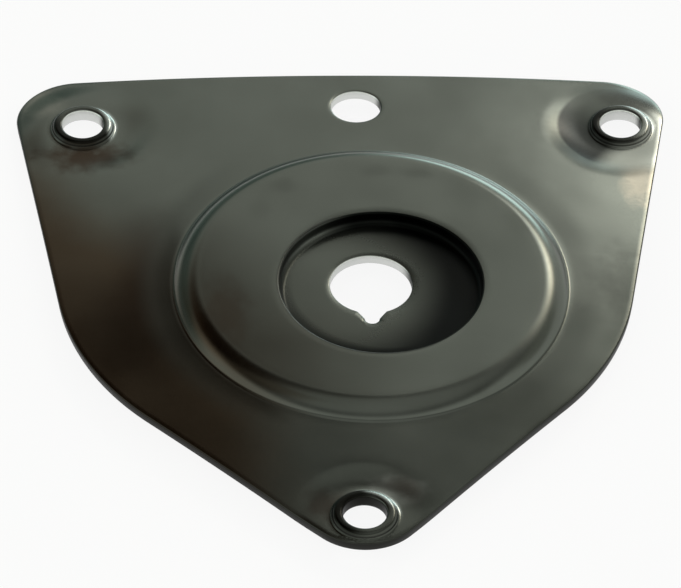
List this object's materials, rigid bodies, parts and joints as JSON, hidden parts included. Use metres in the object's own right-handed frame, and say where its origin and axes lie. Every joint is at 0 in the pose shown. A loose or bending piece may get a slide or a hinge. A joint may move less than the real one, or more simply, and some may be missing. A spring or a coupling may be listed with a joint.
{
  "type": "strut mount",
  "caption": "Pressed steel strut mount plate: rounded triangular domed flange, raised round land, sunk cup with a keyed strut hole, collared corner bolt holes and a locating hole.",
  "frame": {"origin": "on the axis of the strut hole, level with the flat faces of the corner pads", "axes": "+Z along the strut axis, out of the cup; +Y from the key notch towards the straight top edge; +X to the right seen from above"},
  "size_m": [0.134, 0.1358, 0.0088],
  "materials": {
    "sheet_steel": "dark bare steel with a thin film of oil"
  },
  "bodies": {
    "root": {"mount_plate": "sheet_steel"}
  },
  "joints": []
}
